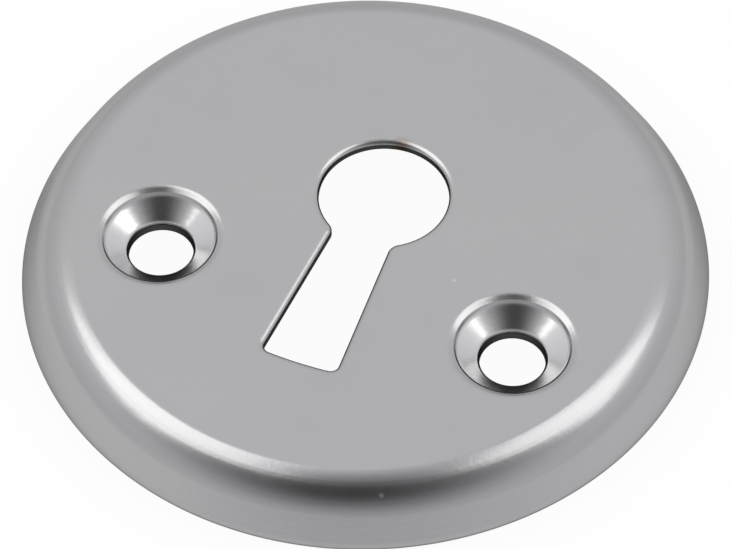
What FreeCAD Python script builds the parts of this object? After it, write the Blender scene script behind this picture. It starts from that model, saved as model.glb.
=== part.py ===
import FreeCAD, Part
import math
import os

import Sketcher
from FreeCAD import Placement, Rotation, Vector

# Round keyhole escutcheon, pressed from one piece of sheet metal.
# +Z points out of the face, +Y towards the round end of the keyhole.
# The origin is on the plate's axis, in the plane of the rim that lies on the door.

# Driving sizes, in millimetres and degrees
sizes = {
    "plate_diameter": 50.0,
    "plate_height": 4.3,
    "sheet_thickness": 0.7,
    "shoulder_radius": 3.9,
    "skirt_angle": 61.0,
    "rim_edge_height": 0.3,
    "rim_edge_inset": 0.15,
    "edge_rollover": 0.4,
    "bow_diameter": 9.5,
    "bow_height": 3.75,
    "slot_reach": 16.3,
    "slot_neck_width": 4.4,
    "slot_end_width": 5.7,
    "slot_end_curve": 30.0,
    "neck_rounding": 1.0,
    "slot_corner_rounding": 0.6,
    "screw_spacing": 27.2,
    "screw_drop": 5.75,
    "countersink_diameter": 8.0,
    "countersink_angle": 114.0,
    "lip_width": 0.8,
    "lip_depth": 0.64,
    "hole_diameter": 4.7,
    "hole_wall": 0.6,
}

# Points nearer to each other than this are the same point
same_place = 1e-5

# Numbers that stand for a curve's points, and for a sketch's axes and origin
START, END, CENTRE = range(1, 4)
H_AXIS, V_AXIS = range(-1, -3, -1)
ORIGIN = (H_AXIS, START)

doc = FreeCAD.newDocument("KeyholeEscutcheon")

table = doc.addObject("Spreadsheet::Sheet", "Sizes")
for row, (alias, value) in enumerate(sizes.items(), start=1):
    table.set(f"A{row}", alias)
    table.set(f"B{row}", str(value))
    table.setAlias(f"B{row}", alias)
doc.recompute()

# Formulas that more than one feature uses
cone_slope = "(90 - Sizes.countersink_angle / 2) * 1 deg"
cone_fall = f"(Sizes.countersink_diameter - Sizes.hole_diameter) / 2 * tan({cone_slope})"
dimple_depth = f"(Sizes.lip_depth + {cone_fall} + Sizes.hole_wall)"


def worth(formula):
    """The number, in millimetres or degrees, that a formula gives now."""
    number = table.evalExpression(formula)
    return float(getattr(number, "Value", number))


def origin_plane(body, role):
    return next(plane for plane in body.Origin.OriginFeatures if plane.Role == role)


def add_sketch(body, name, role):
    sketch = body.newObject("Sketcher::SketchObject", name)
    sketch.AttachmentSupport = [(origin_plane(body, role), "")]
    sketch.MapMode = "FlatFace"
    return sketch


def add_line(sketch, start, end, construction=False):
    segment = Part.LineSegment(Vector(*start, 0), Vector(*end, 0))
    return sketch.addGeometry(segment, construction)


def add_arc(sketch, centre, radius, first, last):
    circle = Part.Circle(Vector(*centre, 0), Vector(0, 0, 1), radius)
    arc = Part.ArcOfCircle(circle, math.radians(first), math.radians(last))
    return sketch.addGeometry(arc, False)


def add_quarter_ellipse(sketch, start, end):
    """Leaves its start level, turns down and ends upright, to the left of the start."""
    width = Vector(start[0] - end[0], 0, 0)
    height = Vector(0, start[1] - end[1], 0)
    centre = Vector(start[0], end[1], 0)
    ellipse = Part.Ellipse(centre + width, centre + height, centre)
    quarter = sketch.addGeometry(Part.ArcOfEllipse(ellipse, math.pi / 2, math.pi), False)
    sketch.exposeInternalGeometry(quarter)
    long_axis, short_axis = quarter + 1, quarter + 2
    tie(sketch, "Horizontal", long_axis)
    tie(sketch, "PointOnObject", quarter, START, short_axis)
    tie(sketch, "PointOnObject", quarter, END, long_axis)
    return quarter


def tie(sketch, kind, *places):
    sketch.addConstraint(Sketcher.Constraint(kind, *places))


def drive(sketch, name, formula, kind, *places):
    """Add a dimension that follows the table of sizes."""
    number = worth(formula)
    if kind == "Angle":
        number = math.radians(number)
    index = sketch.addConstraint(Sketcher.Constraint(kind, *places, number))
    sketch.renameConstraint(index, name)
    sketch.setExpression(f"Constraints.{name}", formula)


def close_loop(sketch, lines):
    for line, following in zip(lines, lines[1:] + lines[:1]):
        tie(sketch, "Coincident", line, END, following, START)


def draw_shell_section(sketch):
    """Half section of the plate: flat face, rounded shoulder, sloping skirt."""
    rim_radius = sizes["plate_diameter"] / 2
    top = sizes["plate_height"]
    wall = sizes["sheet_thickness"]
    outer_bend = sizes["shoulder_radius"]
    inner_bend = outer_bend - wall
    edge = sizes["rim_edge_height"]
    inset = sizes["rim_edge_inset"]
    slope = sizes["skirt_angle"]
    lean = math.radians(slope)
    skirt_run = (top - edge - outer_bend * (1 - math.cos(lean))) / math.tan(lean)
    flat = rim_radius - skirt_run - outer_bend * math.sin(lean)
    bend_centre = (flat, top - outer_bend)
    bend_end = (flat + outer_bend * math.sin(lean), bend_centre[1] + outer_bend * math.cos(lean))
    inner_end = (flat + inner_bend * math.sin(lean), bend_centre[1] + inner_bend * math.cos(lean))
    foot = (rim_radius, edge)
    toe = (rim_radius - inset, 0)
    heel = (rim_radius + edge / math.tan(lean) - wall / math.sin(lean), 0)

    face = add_line(sketch, (0, top), (flat, top))
    shoulder = add_arc(sketch, bend_centre, outer_bend, 90 - slope, 90)
    skirt = add_line(sketch, bend_end, foot)
    rim = add_line(sketch, foot, toe)
    land = add_line(sketch, toe, heel)
    inner_skirt = add_line(sketch, heel, inner_end)
    inner_shoulder = add_arc(sketch, bend_centre, inner_bend, 90 - slope, 90)
    underside = add_line(sketch, (flat, top - wall), (0, top - wall))
    axis = add_line(sketch, (0, top - wall), (0, top))

    tie(sketch, "Tangent", face, END, shoulder, END)
    tie(sketch, "Tangent", shoulder, START, skirt, START)
    tie(sketch, "Coincident", skirt, END, rim, START)
    tie(sketch, "Coincident", rim, END, land, START)
    tie(sketch, "Coincident", land, END, inner_skirt, START)
    tie(sketch, "Tangent", inner_skirt, END, inner_shoulder, START)
    tie(sketch, "Tangent", inner_shoulder, END, underside, START)
    tie(sketch, "Coincident", underside, END, axis, START)
    tie(sketch, "Coincident", axis, END, face, START)
    tie(sketch, "Coincident", inner_shoulder, CENTRE, shoulder, CENTRE)
    tie(sketch, "Parallel", inner_skirt, skirt)
    tie(sketch, "Horizontal", face)
    tie(sketch, "Horizontal", underside)
    tie(sketch, "Horizontal", land)
    tie(sketch, "PointOnObject", axis, START, V_AXIS)
    tie(sketch, "PointOnObject", axis, END, V_AXIS)
    tie(sketch, "PointOnObject", land, END, H_AXIS)

    drive(sketch, "height", "Sizes.plate_height", "DistanceY", *ORIGIN, face, START)
    drive(sketch, "thickness", "Sizes.sheet_thickness", "DistanceY", axis, START, axis, END)
    drive(sketch, "shoulder", "Sizes.shoulder_radius", "Radius", shoulder)
    drive(sketch, "slope", "(180 - Sizes.skirt_angle) * 1 deg", "Angle", H_AXIS, START, skirt, END)
    drive(sketch, "rim_radius", "Sizes.plate_diameter / 2", "DistanceX", *ORIGIN, rim, START)
    drive(sketch, "rim_height", "Sizes.rim_edge_height", "DistanceY", *ORIGIN, rim, START)
    drive(sketch, "rim_inset", "Sizes.rim_edge_inset", "DistanceX", rim, END, rim, START)


def draw_dimple_wall(sketch):
    """Half section of the solid under one dimple, on the dimple's own axis."""
    face_height = sizes["plate_height"]
    wall = sizes["sheet_thickness"]
    crease = (sizes["countersink_diameter"] / 2, face_height - sizes["lip_depth"])
    bottom = face_height - worth(dimple_depth)
    lean = math.radians(90 - sizes["countersink_angle"] / 2)
    outset = wall / math.sin(lean)

    def cone_radius(height):
        return crease[0] + outset - (crease[1] - height) / math.tan(lean)

    middle = face_height - wall / 2
    land_edge = (cone_radius(bottom), bottom)
    lid_edge = (cone_radius(middle), middle)

    land = add_line(sketch, (0, bottom), land_edge)
    cone = add_line(sketch, land_edge, lid_edge)
    lid = add_line(sketch, lid_edge, (0, middle))
    axis = add_line(sketch, (0, middle), (0, bottom))
    mark = sketch.addGeometry(Part.Point(Vector(*crease, 0)), True)

    close_loop(sketch, [land, cone, lid, axis])
    tie(sketch, "Horizontal", land)
    tie(sketch, "Horizontal", lid)
    tie(sketch, "PointOnObject", axis, START, V_AXIS)
    tie(sketch, "PointOnObject", axis, END, V_AXIS)

    drive(sketch, "crease_radius", "Sizes.countersink_diameter / 2", "DistanceX", *ORIGIN, mark, START)
    crease_height = "Sizes.plate_height - Sizes.lip_depth"
    drive(sketch, "crease_height", crease_height, "DistanceY", *ORIGIN, mark, START)
    drive(sketch, "cone_slope", cone_slope, "Angle", H_AXIS, START, cone, START)
    drive(sketch, "thickness", "Sizes.sheet_thickness", "Distance", mark, START, cone)
    bottom_height = f"Sizes.plate_height - {dimple_depth}"
    drive(sketch, "bottom_height", bottom_height, "DistanceY", *ORIGIN, land, START)
    middle_height = "Sizes.plate_height - Sizes.sheet_thickness / 2"
    drive(sketch, "middle_height", middle_height, "DistanceY", *ORIGIN, lid, START)


def draw_dimple_bowl(sketch):
    """Half section of what the screw head and shank take up, on the dimple's own axis."""
    face_height = sizes["plate_height"]
    crease = (sizes["countersink_diameter"] / 2, face_height - sizes["lip_depth"])
    lip_start = crease[0] + sizes["lip_width"]
    hole = sizes["hole_diameter"] / 2
    roll = sizes["edge_rollover"]
    bottom = face_height - worth(dimple_depth)
    slope = 90 - sizes["countersink_angle"] / 2
    lean = math.radians(slope)
    neck_height = crease[1] - worth(cone_fall)
    roll_length = roll * math.tan((math.pi / 2 - lean) / 2)
    cone_foot = (hole + roll_length * math.cos(lean), neck_height + roll_length * math.sin(lean))
    hole_top = (hole, neck_height - roll_length)

    above = face_height + sizes["sheet_thickness"]
    below = bottom - sizes["sheet_thickness"]
    lid = add_line(sketch, (0, above), (lip_start, above))
    side = add_line(sketch, (lip_start, above), (lip_start, face_height))
    lip = add_quarter_ellipse(sketch, (lip_start, face_height), crease)
    cone = add_line(sketch, crease, cone_foot)
    roll_centre = (hole + roll, hole_top[1])
    roll_arc = add_arc(sketch, roll_centre, roll, 90 + slope, 180)
    shank = add_line(sketch, hole_top, (hole, below))
    base = add_line(sketch, (hole, below), (0, below))
    axis = add_line(sketch, (0, below), (0, above))

    tie(sketch, "Coincident", lid, END, side, START)
    tie(sketch, "Coincident", side, END, lip, START)
    tie(sketch, "Coincident", lip, END, cone, START)
    tie(sketch, "Tangent", cone, END, roll_arc, START)
    tie(sketch, "Tangent", roll_arc, END, shank, START)
    tie(sketch, "Coincident", shank, END, base, START)
    tie(sketch, "Coincident", base, END, axis, START)
    tie(sketch, "Coincident", axis, END, lid, START)
    tie(sketch, "Horizontal", lid)
    tie(sketch, "Vertical", side)
    tie(sketch, "Vertical", shank)
    tie(sketch, "Horizontal", base)
    tie(sketch, "PointOnObject", axis, START, V_AXIS)
    tie(sketch, "PointOnObject", axis, END, V_AXIS)

    drive(sketch, "face_height", "Sizes.plate_height", "DistanceY", *ORIGIN, side, END)
    drive(sketch, "lip_width", "Sizes.lip_width", "DistanceX", lip, END, lip, START)
    drive(sketch, "lip_depth", "Sizes.lip_depth", "DistanceY", lip, END, lip, START)
    drive(sketch, "crease_radius", "Sizes.countersink_diameter / 2", "DistanceX", *ORIGIN, cone, START)
    drive(sketch, "cone_slope", cone_slope, "Angle", H_AXIS, START, cone, END)
    drive(sketch, "rollover", "Sizes.edge_rollover", "Radius", roll_arc)
    drive(sketch, "hole_radius", "Sizes.hole_diameter / 2", "DistanceX", *ORIGIN, shank, START)
    top_height = "Sizes.plate_height + Sizes.sheet_thickness"
    drive(sketch, "top_height", top_height, "DistanceY", *ORIGIN, lid, START)
    full_depth = f"{dimple_depth} + Sizes.sheet_thickness"
    drive(sketch, "full_depth", full_depth, "DistanceY", base, START, side, END)


def draw_keyhole(sketch):
    """Round bow with a slot below it that widens a little towards its curved end."""
    bow_radius = sizes["bow_diameter"] / 2
    bow_height = sizes["bow_height"]
    end_height = bow_height - sizes["slot_reach"]
    end_curve = sizes["slot_end_curve"]
    half_neck = sizes["slot_neck_width"] / 2
    half_end = sizes["slot_end_width"] / 2
    neck = sizes["neck_rounding"]
    corner = sizes["slot_corner_rounding"]
    throat_height = bow_height - math.sqrt(bow_radius**2 - half_neck**2)
    neck_side = half_neck + neck
    neck_drop = math.sqrt((bow_radius + neck) ** 2 - neck_side**2)
    neck_turn = math.degrees(math.asin(neck_side / (bow_radius + neck)))
    end_turn = math.degrees(math.asin((half_end - corner) / end_curve))

    bow = add_arc(sketch, (0, bow_height), bow_radius, neck_turn - 90, 270 - neck_turn)
    end = add_arc(sketch, (0, end_height + end_curve), end_curve, 270 - end_turn, 270 + end_turn)
    lowest = sketch.addGeometry(Part.Point(Vector(0, end_height, 0)), True)
    tie(sketch, "PointOnObject", bow, CENTRE, V_AXIS)
    tie(sketch, "PointOnObject", end, CENTRE, V_AXIS)
    tie(sketch, "PointOnObject", lowest, START, V_AXIS)
    tie(sketch, "PointOnObject", lowest, START, end)
    drive(sketch, "bow_radius", "Sizes.bow_diameter / 2", "Radius", bow)
    drive(sketch, "bow_height", "Sizes.bow_height", "DistanceY", *ORIGIN, bow, CENTRE)
    drive(sketch, "end_curve", "Sizes.slot_end_curve", "Radius", end)
    drive(sketch, "reach", "Sizes.slot_reach", "DistanceY", lowest, START, bow, CENTRE)

    for name, way in (("left", -1), ("right", 1)):
        throat = (way * half_neck, throat_height)
        foot = (way * half_end, end_height)
        guide = add_line(sketch, throat, foot, construction=True)
        neck_centre = (way * neck_side, bow_height - neck_drop)
        corner_centre = (way * (half_end - corner), end_height + corner)
        if way < 0:
            neck_arc = add_arc(sketch, neck_centre, neck, 0, 90 - neck_turn)
            corner_arc = add_arc(sketch, corner_centre, corner, 180, 270)
            neck_low, neck_high = START, END
            corner_side, corner_end = START, END
            bow_point, end_point = END, START
        else:
            neck_arc = add_arc(sketch, neck_centre, neck, 90 + neck_turn, 180)
            corner_arc = add_arc(sketch, corner_centre, corner, 270, 360)
            neck_low, neck_high = END, START
            corner_side, corner_end = END, START
            bow_point, end_point = START, END
        side = add_line(
            sketch,
            (way * half_neck, neck_centre[1]),
            (way * half_end, corner_centre[1]),
        )

        tie(sketch, "Tangent", neck_arc, neck_high, bow, bow_point)
        tie(sketch, "Tangent", neck_arc, neck_low, side, START)
        tie(sketch, "Tangent", corner_arc, corner_side, side, END)
        tie(sketch, "Tangent", corner_arc, corner_end, end, end_point)
        tie(sketch, "Tangent", side, guide)
        tie(sketch, "PointOnObject", guide, START, bow)
        drive(sketch, f"{name}_neck", "Sizes.neck_rounding", "Radius", neck_arc)
        drive(sketch, f"{name}_corner", "Sizes.slot_corner_rounding", "Radius", corner_arc)
        throat_ends = [(guide, START), ORIGIN]
        foot_ends = [(guide, END), (lowest, START)]
        if way > 0:
            throat_ends.reverse()
            foot_ends.reverse()
        half_throat_width = "Sizes.slot_neck_width / 2"
        drive(sketch, f"{name}_throat", half_throat_width, "DistanceX", *throat_ends[0], *throat_ends[1])
        half_foot_width = "Sizes.slot_end_width / 2"
        drive(sketch, f"{name}_foot", half_foot_width, "DistanceX", *foot_ends[0], *foot_ends[1])
        drive(sketch, f"{name}_reach", "Sizes.slot_reach", "DistanceY", guide, END, bow, CENTRE)


def edges_where(shape, test):
    return [f"Edge{number}" for number, edge in enumerate(shape.Edges, start=1) if test(edge)]


def settle(feature, before=None, adds=True):
    """Build the feature, and make sure that it added metal or took some away."""
    doc.recompute()
    change = feature.Shape.Volume - (before.Shape.Volume if before else 0)
    if (change if adds else -change) < same_place:
        raise RuntimeError(f"{feature.Name} changed the volume by {change:.4f} mm3")
    print(f"{feature.Name}: {change:+.3f} mm3")
    return change


body = doc.addObject("PartDesign::Body", "Body")
body.Label = "escutcheon_plate"
body.Placement = Placement(Vector(0, 0, 0), Rotation())

# The plate: one section turned about its axis
shell_section = add_sketch(body, "ShellSection", "XZ_Plane")
draw_shell_section(shell_section)
shell = body.newObject("PartDesign::Revolution", "Shell")
shell.Profile = shell_section
shell.ReferenceAxis = (shell_section, ["V_Axis"])
shell.Angle = 360
settle(shell)


# Dimples for the screw heads: the form under the face, then the hollow in it
def place_on_screw(sketch):
    sketch.setExpression("AttachmentOffset.Base.x", "Sizes.screw_spacing / 2")
    sketch.setExpression("AttachmentOffset.Base.z", "Sizes.screw_drop")


wall_section = add_sketch(body, "DimpleWallSection", "XZ_Plane")
place_on_screw(wall_section)
draw_dimple_wall(wall_section)
dimple_wall = body.newObject("PartDesign::Revolution", "DimpleWall")
dimple_wall.Profile = wall_section
dimple_wall.ReferenceAxis = (wall_section, ["V_Axis"])
dimple_wall.Angle = 360
wall_change = settle(dimple_wall, shell)

bowl_section = add_sketch(body, "DimpleBowlSection", "XZ_Plane")
place_on_screw(bowl_section)
draw_dimple_bowl(bowl_section)
dimple_bowl = body.newObject("PartDesign::Groove", "DimpleBowl")
dimple_bowl.Profile = bowl_section
dimple_bowl.ReferenceAxis = (bowl_section, ["V_Axis"])
dimple_bowl.Angle = 360
bowl_change = settle(dimple_bowl, dimple_wall, adds=False)

other_dimple = body.newObject("PartDesign::Mirrored", "OtherDimple")
other_dimple.Originals = [dimple_wall, dimple_bowl]
other_dimple.MirrorPlane = (origin_plane(body, "YZ_Plane"), [""])
body.Tip = other_dimple
settle(other_dimple, dimple_bowl, adds=wall_change + bowl_change > 0)

# The keyhole, punched down through the face
keyhole_outline = add_sketch(body, "KeyholeOutline", "XY_Plane")
keyhole_outline.setExpression("AttachmentOffset.Base.z", "Sizes.plate_height")
draw_keyhole(keyhole_outline)
keyhole = body.newObject("PartDesign::Pocket", "Keyhole")
keyhole.Profile = keyhole_outline
keyhole.Type = "ThroughAll"
settle(keyhole, other_dimple, adds=False)


# Punching rolls the face's metal over at the keyhole's upper edge
def on_keyhole_outline(edge):
    middle = edge.valueAt((edge.FirstParameter + edge.LastParameter) / 2)
    return Part.Vertex(middle).distToShape(keyhole_outline.Shape)[0] < same_place


rollover = body.newObject("PartDesign::Fillet", "KeyholeRollover")
rollover.Base = (keyhole, edges_where(keyhole.Shape, on_keyhole_outline))
rollover.setExpression("Radius", "Sizes.edge_rollover")
settle(rollover, keyhole, adds=False)

# Nothing is written unless every feature and the finished plate are sound
for item in doc.Objects:
    if "Invalid" in item.State or "Error" in item.State:
        raise RuntimeError(f"{item.Name} did not build: {item.State}")
plate = body.Shape
if plate.isNull() or not plate.isValid() or len(plate.Solids) != 1:
    raise RuntimeError("the plate is not one sound solid")

os.makedirs("parts", exist_ok=True)
plate.exportStep(f"parts/{body.Label}.step")
box = plate.optimalBoundingBox()
print(f"{body.Label}: {plate.Volume:.3f} mm3, {len(plate.Faces)} faces")
print(f"box x {box.XMin:.3f} to {box.XMax:.3f}, y {box.YMin:.3f} to {box.YMax:.3f}")
print(f"box z {box.ZMin:.3f} to {box.ZMax:.3f}")
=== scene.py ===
import math

import bpy
import numpy as np
from mathutils import Matrix, Vector, geometry


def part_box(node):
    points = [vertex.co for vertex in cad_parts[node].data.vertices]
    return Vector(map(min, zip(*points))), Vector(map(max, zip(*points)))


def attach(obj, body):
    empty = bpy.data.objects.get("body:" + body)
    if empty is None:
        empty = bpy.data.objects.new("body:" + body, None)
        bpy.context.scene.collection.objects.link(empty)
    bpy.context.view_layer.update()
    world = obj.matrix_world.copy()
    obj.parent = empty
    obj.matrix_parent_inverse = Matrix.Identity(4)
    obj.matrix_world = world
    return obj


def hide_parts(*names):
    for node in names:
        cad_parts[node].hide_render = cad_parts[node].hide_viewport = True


# Pressed round key plate, lying face up on a pale floor in soft studio light.
# +Z points out of the face and +Y towards the keyhole's round end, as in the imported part.

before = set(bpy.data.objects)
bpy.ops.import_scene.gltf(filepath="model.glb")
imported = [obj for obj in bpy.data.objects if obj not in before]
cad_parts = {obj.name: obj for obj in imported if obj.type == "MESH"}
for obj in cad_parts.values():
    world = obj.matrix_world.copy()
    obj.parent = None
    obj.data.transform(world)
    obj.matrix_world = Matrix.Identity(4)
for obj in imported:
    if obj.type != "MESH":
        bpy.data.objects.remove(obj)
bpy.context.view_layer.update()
plateLow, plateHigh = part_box("escutcheon_plate")
mm = 0.001

# Plate: one pressed sheet, worked out as rings of points that share the level sheets between them.

# lengths in millimetres, angles in degrees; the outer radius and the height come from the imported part
plateShape = {
    "radius": (plateHigh.x - plateLow.x) / 2 / mm,
    "height": plateHigh.z / mm,
    "sheet": 0.7,
    "crown": 1.5,            # outer bend radius where the face turns down, over the first degrees
    "crownTurn": 12.0,
    "shoulder": 3.9,         # outer bend radius of the rest of the shoulder
    "skirtAngle": 61.0,      # steepness of the skirt
    "rimHeight": 0.3,        # where the skirt would meet the full radius
    "rimRounding": 0.25,
    "supportRing": 0.15,     # narrow level band beside every bend, which keeps the face's shading flat
    "sharpAngle": 28.0,      # edges that turn by more than this are shaded sharp
    "segments": 576,
    "shoulderSteps": 22,
    "skirtSteps": 6,
    "rimSteps": 10,
}

dimpleShape = {
    "spacing": 27.2,
    "drop": 5.75,
    "creaseRadius": 4.0,
    "coneAngle": 35.0,       # steepness of the countersink, down to where it rolls into the hole
    "lipWidth": 0.8,
    "lipDepth": 0.48,
    "lipAngle": 27.0,        # steepness that the lip bends to before it drops at the crease
    "lipBend": 0.8,          # radius of that bend
    "creaseDraft": 0.18,     # width of that drop
    "holeRadius": 2.35,
    "holeRounding": 0.6,
    "collarRadius": 2.71,    # outside of the metal round the hole, on the underside
    "bottom": 1.9,           # height of the hole's lower edge
    "segments": 240,
    "lipSteps": 16,
    "coneSteps": 8,
    "roundingSteps": 12,
}

keyholeShape = {
    "bowRadius": 4.75,
    "bowHeight": 3.75,
    "reach": 16.3,           # from the bow's centre to the slot's lowest point
    "neckWidth": 4.4,
    "endWidth": 5.7,
    "endCurve": 30.0,
    "neckRounding": 1.0,
    "cornerRounding": 0.6,
    "rollWidth": 0.55,       # the face's metal drawn down at the punched edge
    "rollDepth": 0.4,
    "rollSteps": 12,
    "bowSteps": 80,
    "cornerSteps": 14,
    "sideSteps": 8,
}


def arcPoints(centre, radius, first, last, steps):
    # points on a circle at even angles: centre + radius * (cos, sin)
    angle = np.radians(np.linspace(first, last, steps + 1))
    return np.column_stack((centre[0] + radius * np.cos(angle), centre[1] + radius * np.sin(angle)))


def linePoints(start, end, steps):
    # points at even shares of the way: start * (1 - share) + end * share
    share = np.linspace(0, 1, steps + 1)[:, None]
    return np.array(start) * (1 - share) + np.array(end) * share


def joinRuns(*runs, gap=1e-6):
    # runs of points end to end, with a point that two of them share kept once
    points = np.vstack(runs)
    apart = np.linalg.norm(np.diff(points[:, :2], axis=0), axis=1) > gap
    return points[np.concatenate(([True], apart))]


def shellProfile(shape):
    # half section (radius, height), from the level face over shoulder, skirt and rim to the underside
    lean = math.radians(shape["skirtAngle"])
    turn = math.radians(shape["crownTurn"])
    crown, outer = shape["crown"], shape["shoulder"]
    across = crown * math.sin(turn) + outer * (math.sin(lean) - math.sin(turn))
    down = crown * (1 - math.cos(turn)) + outer * (math.cos(turn) - math.cos(lean))
    rise = shape["height"] - shape["rimHeight"] - down
    flat = shape["radius"] - rise / math.tan(lean) - across
    # centres of the two bends, which meet at crownTurn; both sides of the sheet share them
    crownCentre = (flat, shape["height"] - crown)
    shift = outer - crown
    shoulderCentre = (flat - shift * math.sin(turn), crownCentre[1] - shift * math.cos(turn))
    foot = (shape["radius"] - shape["rimRounding"], shape["rimRounding"])
    heel = shape["radius"] + shape["rimHeight"] / math.tan(lean) - shape["sheet"] / math.sin(lean)
    meet, skirtNormal = 90 - shape["crownTurn"], 90 - shape["skirtAngle"]

    def shoulderRun(inset, rows):
        # both bends, set in from the outside; the short one takes a third as many rows
        first = arcPoints(crownCentre, crown - inset, 90, meet, rows // 3)
        return joinRuns(first, arcPoints(shoulderCentre, outer - inset, meet, skirtNormal, rows))

    outside = shoulderRun(0, shape["shoulderSteps"])
    inside = shoulderRun(shape["sheet"], shape["shoulderSteps"] // 2)[::-1]
    rim = arcPoints(foot, shape["rimRounding"], skirtNormal, -90, shape["rimSteps"])
    band = shape["supportRing"]
    return joinRuns(
        linePoints((flat - band, shape["height"]), outside[0], 1),
        outside,
        linePoints(outside[-1], rim[0], shape["skirtSteps"]),
        rim,
        linePoints(rim[-1], (heel, 0), 1),
        linePoints((heel, 0), inside[0], 4),
        inside,
        linePoints(inside[-1], (flat - band, shape["height"] - shape["sheet"]), 1),
    )


def dimpleProfile(shape, plate):
    # half section round the screw's axis: lip, crease, cone, hole, then back under the sheet
    face, sheet, band = plate["height"], plate["sheet"], plate["supportRing"]
    hole, bottom, roll = shape["holeRadius"], shape["bottom"], shape["holeRounding"]
    lean, tilt = math.radians(shape["coneAngle"]), math.radians(shape["lipAngle"])
    crease = (shape["creaseRadius"], face - shape["lipDepth"])
    neck = crease[1] - (crease[0] - hole) * math.tan(lean)
    # the lip bends down to its angle, runs straight to the crease and drops there
    edge, bend = crease[0] + shape["lipWidth"], shape["lipBend"]
    lip = arcPoints((edge, face - bend), bend, 90, 90 + shape["lipAngle"], shape["lipSteps"])
    brink = crease[0] + shape["creaseDraft"]
    drop = (brink, lip[-1, 1] - (lip[-1, 0] - brink) * math.tan(tilt))
    lip = joinRuns(lip, linePoints(lip[-1], drop, 5), linePoints(drop, crease, 3))
    # the cone rolls into the hole's wall
    rollCentre = (hole + roll, neck - roll * math.tan((math.pi / 2 - lean) / 2))
    rounding = arcPoints(rollCentre, roll, 90 + shape["coneAngle"], 180, shape["roundingSteps"])
    # the cone's underside runs a sheet's thickness below it, down to the collar
    underEdge = crease[0] + sheet / math.sin(lean)
    underRadius = underEdge - (crease[1] - face + sheet) / math.tan(lean)
    collar = (shape["collarRadius"], crease[1] - (underEdge - shape["collarRadius"]) * math.tan(lean))
    return joinRuns(
        linePoints((lip[0, 0] + band, face), lip[0], 1),
        lip,
        linePoints(lip[-1], rounding[0], shape["coneSteps"]),
        rounding,
        linePoints(rounding[-1], (hole, bottom), 2),
        linePoints((hole, bottom), (collar[0], bottom), 1),
        linePoints((collar[0], bottom), collar, 1),
        linePoints(collar, (underRadius, face - sheet), 3),
        linePoints((underRadius, face - sheet), (underRadius + band, face - sheet), 1),
    )


def keyholeProfile(shape, plate):
    # section across the punched edge, (distance into the metal, height): quarter ellipse, then a wall
    face, under, band = plate["height"], plate["height"] - plate["sheet"], plate["supportRing"]
    width, depth = shape["rollWidth"], shape["rollDepth"]
    rounding = arcPoints((0, 0), 1, 90, 180, shape["rollSteps"]) * (width, depth) + (width, face - depth)
    return joinRuns(
        linePoints((width + band, face), rounding[0], 1),
        rounding,
        linePoints(rounding[-1], (0, under), 1),
        linePoints((0, under), (band, under), 1),
    )


def slideTo(start, along, radius):
    # how far start moves along a unit direction until it first lies this far from the origin
    return -start @ along - math.sqrt((start @ along) ** 2 - start @ start + radius**2)


def turnOf(direction):
    return math.degrees(math.atan2(direction[1], direction[0]))


def arcRun(centre, radius, first, last, steps, side=1):
    # points on a circle and their normals, away from the centre or, with side -1, towards it
    points = arcPoints(centre, radius, first, last, steps)
    return np.hstack((points, side * (points - centre) / radius))


def keyholeOutline(shape):
    # the hole's outline, anticlockwise, as joined arcs and lines, with its normals into the metal
    bow, curve = shape["bowRadius"], shape["endCurve"]
    neck, corner = shape["neckRounding"], shape["cornerRounding"]
    lowest = shape["bowHeight"] - shape["reach"]
    bowCentre = np.array((0, shape["bowHeight"]))
    endCentre = np.array((0, lowest + curve))
    throatDrop = math.sqrt(bow**2 - shape["neckWidth"] ** 2 / 4)
    throat = np.array((shape["neckWidth"] / 2, shape["bowHeight"] - throatDrop))
    foot = np.array((shape["endWidth"] / 2, lowest))
    along = (throat - foot) / np.linalg.norm(throat - foot)
    outward = np.array((along[1], -along[0]))
    # the neck's arc touches the bow from outside and the slot's side
    sideToNeck = foot + outward * neck - bowCentre
    neckCentre = bowCentre + sideToNeck + along * slideTo(sideToNeck, along, bow + neck)
    # the corner's arc touches the slot's side and the curved end from inside
    sideToCorner = foot - outward * corner - endCentre
    cornerCentre = endCentre + sideToCorner + along * slideTo(sideToCorner, along, curve - corner)
    sideTurn, neckTurn = turnOf(outward), turnOf(neckCentre - bowCentre)
    endTurn = turnOf(cornerCentre - endCentre)

    cornerRun = arcRun(cornerCentre, corner, endTurn, sideTurn, shape["cornerSteps"])
    neckRun = arcRun(neckCentre, neck, 180 + sideTurn, 180 + neckTurn, shape["cornerSteps"], -1)
    side = linePoints(cornerRun[-1, :2], neckRun[0, :2], shape["sideSteps"])
    half = joinRuns(
        arcRun(endCentre, curve, -90, endTurn, shape["sideSteps"]),
        cornerRun,
        np.hstack((side, np.tile(outward, (len(side), 1)))),
        neckRun,
        arcRun(bowCentre, bow, neckTurn, 90, shape["bowSteps"]),
    )
    whole = np.vstack((half, half[-2:0:-1] * (-1, 1, -1, 1)))
    return whole[:, :2], whole[:, 2:]


def turnProfile(profile, centre, segments):
    # grid of rings: every profile point goes round the axis through centre
    angle = np.arange(segments) / segments * 2 * math.pi
    rings = np.empty((len(profile), segments, 3))
    rings[..., 0] = centre[0] + profile[:, :1] * np.cos(angle)
    rings[..., 1] = centre[1] + profile[:, :1] * np.sin(angle)
    rings[..., 2] = profile[:, 1:]
    return rings


def carryProfile(profile, path, normals):
    # grid of rings: every profile point follows the path, set off along its normals
    rings = np.empty((len(profile), len(path), 3))
    rings[..., :2] = path + profile[:, :1, None] * normals
    rings[..., 2] = profile[:, 1:]
    return rings


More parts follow.
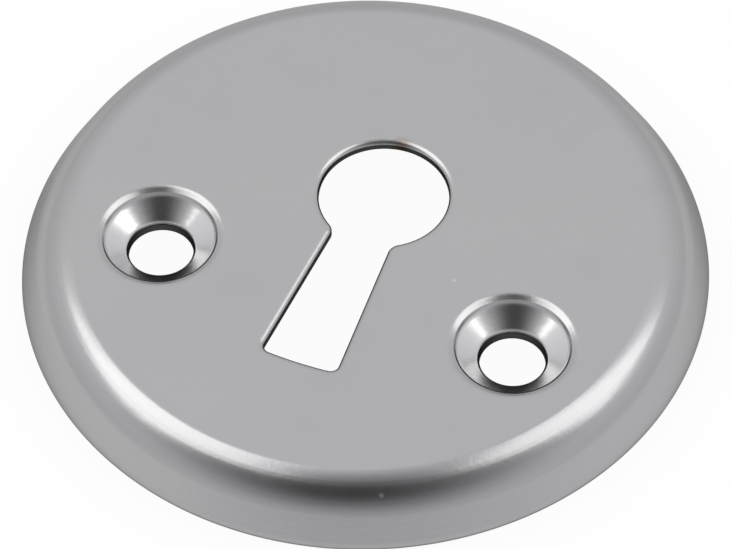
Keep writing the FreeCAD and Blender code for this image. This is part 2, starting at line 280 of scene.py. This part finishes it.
def ringFaces(rings, start, inward):
    # quads between neighbouring rings; the last point of a ring joins its first
    rows, count = rings.shape[:2]
    index = start + np.arange(rows * count).reshape(rows, count)
    onward = np.roll(index, -1, axis=1)
    quads = np.stack((index[:-1], index[1:], onward[1:], onward[:-1]), axis=-1).reshape(-1, 4)
    return quads[:, ::-1] if inward else quads


def levelFaces(loops, starts, up):
    # triangles that fill the level sheet between its outline and the openings in it
    triangles = np.array(geometry.tessellate_polygon([loop.tolist() for loop in loops]))
    number = np.concatenate([start + np.arange(len(loop)) for loop, start in zip(loops, starts)])
    points = np.vstack(loops)[triangles]
    turn = np.cross(points[:, 1] - points[:, 0], points[:, 2] - points[:, 0])[:, 2]
    wrong = (turn > 0) != up
    triangles[wrong] = triangles[wrong][:, ::-1]
    return number[triangles]


def makePlate():
    shell = turnProfile(shellProfile(plateShape), (0, 0), plateShape["segments"])
    section = dimpleProfile(dimpleShape, plateShape)
    places = [(side * dimpleShape["spacing"] / 2, -dimpleShape["drop"]) for side in (-1, 1)]
    dimples = [turnProfile(section, place, dimpleShape["segments"]) for place in places]
    keyhole = carryProfile(keyholeProfile(keyholeShape, plateShape), *keyholeOutline(keyholeShape))
    grids = [shell, *dimples, keyhole]
    ends = np.cumsum([grid.shape[0] * grid.shape[1] for grid in grids])
    starts = np.concatenate(([0], ends[:-1]))
    lastRows = ends - [grid.shape[1] for grid in grids]
    quads = np.vstack([ringFaces(grid, start, grid is not shell) for grid, start in zip(grids, starts)])
    top = levelFaces([grid[0] for grid in grids], starts, True)
    under = levelFaces([grid[-1] for grid in grids], lastRows, False)
    points = np.vstack([grid.reshape(-1, 3) for grid in grids]) * mm
    mesh = bpy.data.meshes.new("plateSkin")
    mesh.from_pydata(points.tolist(), [], quads.tolist() + top.tolist() + under.tolist())
    mesh.shade_smooth()
    mesh.set_sharp_from_angle(angle=math.radians(plateShape["sharpAngle"]))
    mesh.update()
    plate = bpy.data.objects.new("plateSkin", mesh)
    bpy.context.scene.collection.objects.link(plate)
    return plate


plate = makePlate()
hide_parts("escutcheon_plate")
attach(plate, "root")
print("plate:", len(plate.data.vertices), "points,", len(plate.data.polygons), "faces")

# Node helpers: a value for a socket is either a plain one or another node's output.


def addNode(tree, kind, sockets, **settings):
    node = tree.nodes.new("ShaderNode" + kind)
    for name, setting in settings.items():
        setattr(node, name, setting)
    for key, value in sockets.items():
        if isinstance(value, bpy.types.NodeSocket):
            tree.links.new(value, node.inputs[key])
        else:
            node.inputs[key].default_value = value
    return node


def calculate(tree, operation, *values):
    return addNode(tree, "Math", dict(enumerate(values)), operation=operation).outputs[0]


def measure(tree, operation, *vectors):
    # a plain number worked out from vectors, such as a length or a distance
    return addNode(tree, "VectorMath", dict(enumerate(vectors)), operation=operation).outputs["Value"]


def remap(tree, value, low, high, toLow=0.0, toHigh=1.0, smooth=False):
    # toLow where value is low or less, toHigh where it is high or more, and a ramp between
    sockets = dict(enumerate((value, low, high, toLow, toHigh)))
    kind = "SMOOTHSTEP" if smooth else "LINEAR"
    return addNode(tree, "MapRange", sockets, interpolation_type=kind).outputs["Result"]


def blend(tree, factor, first, second, mode="MIX"):
    sockets = {0: factor, 6: first, 7: second}  # the colour sockets of a Mix node
    return addNode(tree, "Mix", sockets, data_type="RGBA", blend_type=mode).outputs[2]


def noise(tree, name, scale, detail, place, dimensions="3D"):
    sockets = {"Scale": scale, "Detail": detail, "W" if dimensions == "1D" else "Vector": place}
    return addNode(tree, "TexNoise", sockets, name=name, label=name, noise_dimensions=dimensions).outputs[0]


# Finish: satin metal, with the marks that pressing, handling and storage leave on it, plus a painted sheen
#  in the dimples and a painted glint on the front shoulder.

# colours are linear; pattern scales are in turns per metre, heights in metres, places and reaches in
# millimetres; a range is the part of a noise over which its effect comes in
plateFinish = {
    "colour": (0.437, 0.437, 0.438, 1.0),
    "coolColour": (0.431, 0.428, 0.440, 1.0),  # the colour drifts to this one in wide soft patches
    "driftScale": 32.0,
    "driftRange": (0.35, 0.65),
    "edgeTint": (0.6, 0.6, 0.6, 1.0),          # reflectance at a flat angle, against plain white
    "roughness": 0.23,
    "smudgeScale": 210.0,
    "smudgeRange": (0.52, 0.78),
    "smudgeColour": (0.975, 0.975, 0.975, 1.0),
    "smudgeRoughness": 0.05,
    "grainScale": 3200.0,
    "grainRoughness": 0.05,
    "grainHeight": 4e-6,
    "ringScale": 3600.0,                       # fine rings that forming leaves on shoulder and skirt
    "ringStart": 20.0,
    "ringEnd": 22.0,
    "ringColour": (0.95, 0.95, 0.95, 1.0),
    "ringHeight": 3e-6,
    "speckScale": 130.0,
    "speckSize": (0.0112, 0.028),              # in cells of the pattern: the full speck, and its edge
    "speckShare": 0.1,
    # colour of the pale specks and of the painted glint on the front shoulder
    "speckAndGlintColour": (0.56, 0.56, 0.56, 1.0),
    "speckRoughness": 0.35,
    # a pale speck on the face and a painted glint on the front shoulder's dark band: place, reach and share
    "speckAndGlintPlaces": (((7.7, -1.92, 4.3), 0.22, 0.9), ((9.6, -20.72, 3.55), 0.26, 0.5)),
    "rustColour": (0.20, 0.105, 0.04, 1.0),    # a trace of rust on the bow's punched edge
    "rust": ((-0.5, 8.45, 3.85), 1.1, 0.75),
    "dimpleSheenColour": (0.62, 0.618, 0.625, 1.0),  # painted sheen that makes the dimples brighter than the rest of the metal
    "dimpleRoughness": 0.19,
    "dimpleSheenFade": 0.1,
}


def satinMetal(finish):
    # colour: metal drifting between two tints, brighter in the dimples by a painted sheen, darker in
    # smudges
    #     and rings, with pale specks, a painted glint and a trace of rust
    # roughness: a level value, lower in the dimples, plus smudges, specks and grain
    # height: grain plus rings
    material = bpy.data.materials.new("satinMetal")
    material.use_nodes = True
    tree = material.node_tree
    shader = tree.nodes["Principled BSDF"]
    shader.inputs["Metallic"].default_value = 1.0
    shader.inputs["Specular Tint"].default_value = finish["edgeTint"]
    place = addNode(tree, "TexCoord", {}).outputs["Object"]
    east, north, _ = addNode(tree, "SeparateXYZ", {0: place}).outputs
    level = addNode(tree, "CombineXYZ", {"X": east, "Y": north}).outputs[0]
    radius = measure(tree, "LENGTH", level)  # distance from the plate's axis

    def spot(centre, reach, strength):
        # strength at the centre, fading smoothly to nothing at reach
        away = measure(tree, "DISTANCE", place, [value * mm for value in centre])
        return remap(tree, away, 0.0, reach * mm, strength, 0.0, smooth=True)

    drift = noise(tree, "drift", finish["driftScale"], 2.0, place)
    drift = remap(tree, drift, *finish["driftRange"], smooth=True)
    smudge = noise(tree, "smudge", finish["smudgeScale"], 4.0, place)
    smudge = remap(tree, smudge, *finish["smudgeRange"], smooth=True)
    grain = noise(tree, "grain", finish["grainScale"], 2.0, place)
    formed = remap(tree, radius, finish["ringStart"] * mm, finish["ringEnd"] * mm, smooth=True)
    ring = noise(tree, "ring", finish["ringScale"], 3.0, radius, "1D")
    ring = calculate(tree, "MULTIPLY", ring, formed)

    # stray specks on the face only: one in some cells of the pattern
    sockets = {"Vector": level, "Scale": finish["speckScale"]}
    cells = addNode(tree, "TexVoronoi", sockets, voronoi_dimensions="2D")
    chance = addNode(tree, "SeparateColor", {0: cells.outputs["Color"]}).outputs[0]
    chosen = calculate(tree, "LESS_THAN", chance, finish["speckShare"])
    near = remap(tree, cells.outputs["Distance"], *finish["speckSize"], 1.0, 0.0, smooth=True)
    onFace = calculate(tree, "SUBTRACT", 1.0, formed)
    specksAndGlint = calculate(tree, "MULTIPLY", calculate(tree, "MULTIPLY", chosen, near), onFace)
    # the face's pale speck and the painted glint on the front shoulder join them
    for spotValues in finish["speckAndGlintPlaces"]:
        specksAndGlint = calculate(tree, "MAXIMUM", specksAndGlint, spot(*spotValues))
    rust = spot(*finish["rust"])

    # painted sheen, with a lower roughness, inside both dimples' creases: distance from the nearer screw's
    # axis
    beside = calculate(tree, "ABSOLUTE", east)
    aside = calculate(tree, "SUBTRACT", beside, dimpleShape["spacing"] / 2 * mm)
    above = calculate(tree, "ADD", north, dimpleShape["drop"] * mm)
    squares = [calculate(tree, "MULTIPLY", length, length) for length in (aside, above)]
    fromScrew = calculate(tree, "SQRT", calculate(tree, "ADD", *squares))
    crease, fade = dimpleShape["creaseRadius"], finish["dimpleSheenFade"]
    dimpleSheen = remap(tree, fromScrew, (crease - fade) * mm, (crease + fade) * mm, 1.0, 0.0, smooth=True)

    white = (1.0, 1.0, 1.0, 1.0)
    colour = blend(tree, drift, finish["colour"], finish["coolColour"])
    colour = blend(tree, dimpleSheen, colour, finish["dimpleSheenColour"])
    colour = blend(tree, 1.0, colour, blend(tree, smudge, white, finish["smudgeColour"]), "MULTIPLY")
    colour = blend(tree, 1.0, colour, blend(tree, ring, white, finish["ringColour"]), "MULTIPLY")
    colour = blend(tree, specksAndGlint, colour, finish["speckAndGlintColour"])
    colour = blend(tree, rust, colour, finish["rustColour"])
    tree.links.new(colour, shader.inputs["Base Color"])

    rough = remap(tree, dimpleSheen, 0.0, 1.0, finish["roughness"], finish["dimpleRoughness"])
    fromGrain = calculate(tree, "SUBTRACT", grain, 0.5)
    for mask, share in (
        (smudge, finish["smudgeRoughness"]),
        (specksAndGlint, finish["speckRoughness"]),
        (fromGrain, finish["grainRoughness"]),
    ):
        rough = calculate(tree, "ADD", calculate(tree, "MULTIPLY", mask, share), rough)
    tree.links.new(rough, shader.inputs["Roughness"])

    grainHeight = calculate(tree, "MULTIPLY", grain, finish["grainHeight"])
    ringHeight = calculate(tree, "MULTIPLY", ring, finish["ringHeight"])
    height = calculate(tree, "ADD", grainHeight, ringHeight)
    bump = addNode(tree, "Bump", {"Height": height, "Distance": 1.0})
    tree.links.new(bump.outputs["Normal"], shader.inputs["Normal"])
    return material


plate.data.materials.append(satinMetal(plateFinish))
print("finish: satin metal")

# Studio: a pale floor with a painted shadow under the plate, a bright sky with a dark patch above
#  the camera, and a soft box on either side.

studio = {
    "floorSize": 1.2,
    "floorGap": 0.02,        # millimetres between the floor and the plate's rim
    "floorColour": (0.92, 0.92, 0.92, 1.0),
    "floorWhite": 0.96,      # share of plain white that the floor shows to the camera
    "floorShine": 0.86,      # and to the metal
    # painted shadow: the floor's colour under the plate and just round it
    "underShadeColour": (0.15, 0.15, 0.15, 1.0),
    "underShadeInner": 22.0,       # millimetres from the plate's axis over which that painted shadow fades out
    "underShadeOuter": 29.8,
    "skyColour": (0.98, 0.985, 1.0),
    "skyStrength": 1.0,
    "horizonLevel": 0.81,
    "zenithLevel": 1.06,
    "shadeHeading": 16.0,    # azimuth and elevation of the dark patch's middle
    "shadeHeight": 57.6,
    "shadeInner": 5.0,       # degrees from the middle where it starts to fade, and where it ends
    "shadeOuter": 68.0,
    "shadeLevel": 0.06,
}

# headings and heights in degrees, lengths in metres
softBoxes = {
    "leftBox": {
        "heading": -81.5,
        "height": 60.4,
        "distance": 0.6,
        "size": (0.38, 0.40),
        "power": 0.73,
        "colour": (1.0, 0.995, 0.975),
    },
    "rightBox": {
        "heading": 119.5,
        "height": 57.0,
        "distance": 0.6,
        "size": (0.33, 0.41),
        "power": 0.57,
        "colour": (1.0, 0.99, 0.96),
    },
}


def heading(azimuth, elevation):
    # unit vector towards a place in the studio; azimuth 0 is the side that -Y faces, 90 the +X side
    around, up = math.radians(azimuth), math.radians(elevation)
    return Vector((math.sin(around) * math.cos(up), -math.cos(around) * math.cos(up), math.sin(up)))


def paleFloor(values):
    # a painted shadow: the floor is dark under the plate and just round it, so the metal's punched edges
    # read dark
    #     share of plain white = floorWhite for the camera, floorShine clear of that painted shadow for
    #     mirrored rays
    material = bpy.data.materials.new("paleFloor")
    material.use_nodes = True
    tree = material.node_tree
    tree.nodes.clear()
    reach = measure(tree, "LENGTH", addNode(tree, "TexCoord", {}).outputs["Object"])
    clear = remap(tree, reach, values["underShadeInner"] * mm, values["underShadeOuter"] * mm, smooth=True)
    colour = blend(tree, clear, values["underShadeColour"], values["floorColour"])
    path = addNode(tree, "LightPath", {}).outputs
    mirrored = calculate(tree, "MAXIMUM", path["Is Glossy Ray"], path["Is Transmission Ray"])
    shine = calculate(tree, "MULTIPLY", calculate(tree, "MULTIPLY", mirrored, clear), values["floorShine"])
    seen = calculate(tree, "MULTIPLY", path["Is Camera Ray"], values["floorWhite"])
    share = calculate(tree, "MAXIMUM", seen, shine)
    matt = addNode(tree, "BsdfDiffuse", {"Color": colour}).outputs[0]
    white = addNode(tree, "Emission", {"Strength": 1.0}).outputs[0]
    mix = addNode(tree, "MixShader", {0: share, 1: matt, 2: white}).outputs[0]
    addNode(tree, "OutputMaterial", {"Surface": mix})
    return material


def makeFloor(values):
    half, height = values["floorSize"] / 2, plateLow.z - values["floorGap"] * mm
    corners = [(side * half, end * half, height) for side, end in ((-1, -1), (1, -1), (1, 1), (-1, 1))]
    mesh = bpy.data.meshes.new("floor")
    mesh.from_pydata(corners, [], [(0, 1, 2, 3)])
    mesh.materials.append(paleFloor(values))
    floor = bpy.data.objects.new("floor", mesh)
    bpy.context.scene.collection.objects.link(floor)


def makeSky(values):
    # level = (horizon to zenith, linear in height) * (shadeLevel inside the patch to 1 outside it,
    # smooth in the angle from the patch's middle)
    world = bpy.data.worlds.new("studioSky")
    bpy.context.scene.world = world
    world.use_nodes = True
    tree = world.node_tree
    place = addNode(tree, "TexCoord", {}).outputs["Generated"]
    middle = heading(values["shadeHeading"], values["shadeHeight"])
    angle = calculate(tree, "ARCCOSINE", measure(tree, "DOT_PRODUCT", place, middle))
    inner, outer = math.radians(values["shadeInner"]), math.radians(values["shadeOuter"])
    shade = remap(tree, angle, inner, outer, values["shadeLevel"], 1.0, smooth=True)
    up = addNode(tree, "SeparateXYZ", {0: place}).outputs["Z"]
    rise = remap(tree, up, 0.0, 1.0, values["horizonLevel"], values["zenithLevel"])
    sockets = {0: values["skyColour"], "Scale": calculate(tree, "MULTIPLY", shade, rise)}
    tint = addNode(tree, "VectorMath", sockets, operation="SCALE")
    sky = tree.nodes["Background"]
    sky.inputs["Strength"].default_value = values["skyStrength"]
    tree.links.new(tint.outputs["Vector"], sky.inputs["Color"])


def makeSoftBox(name, values):
    data = bpy.data.lights.new(name, "AREA")
    data.shape = "RECTANGLE"
    data.size, data.size_y = values["size"]
    data.energy = values["power"]
    data.color = values["colour"]
    box = bpy.data.objects.new(name, data)
    towards = heading(values["heading"], values["height"])
    turned = towards.to_track_quat("Z", "Y").to_matrix().to_4x4()
    box.matrix_world = Matrix.Translation(towards * values["distance"]) @ turned
    box.visible_camera = False
    bpy.context.scene.collection.objects.link(box)


makeFloor(studio)
makeSky(studio)
for name, values in softBoxes.items():
    makeSoftBox(name, values)
print("studio: floor, sky and", len(softBoxes), "soft boxes")

# Camera: the photograph's viewing angle.

cameraPlace = {
    "azimuth": 22.94,        # degrees round the plate, 0 looking along +Y
    "elevation": 51.80,
    "roll": 1.23,
    "distance": 0.296,       # metres, as are the aim and the clipping distances
    "lens": 201.7,
    "aim": (0.00091, -0.00205, 0.002),
    "clip": (0.01, 10.0),
}


def makeCamera(place):
    back = heading(place["azimuth"], place["elevation"])
    around, roll = math.radians(place["azimuth"]), math.radians(place["roll"])
    right = Vector((math.cos(around), math.sin(around), 0))
    up = back.cross(right)
    turnedRight = right * math.cos(roll) - up * math.sin(roll)
    turnedUp = right * math.sin(roll) + up * math.cos(roll)
    data = bpy.data.cameras.new("camera")
    data.lens = place["lens"]
    data.clip_start, data.clip_end = place["clip"]
    camera = bpy.data.objects.new("camera", data)
    bpy.context.scene.collection.objects.link(camera)
    turned = Matrix((turnedRight, turnedUp, back)).transposed().to_4x4()
    camera.matrix_world = Matrix.Translation(Vector(place["aim"]) + back * place["distance"]) @ turned
    bpy.context.scene.camera = camera


makeCamera(cameraPlace)
bpy.context.scene.view_settings.view_transform = "Standard"
print("camera placed")

bpy.context.view_layer.update()
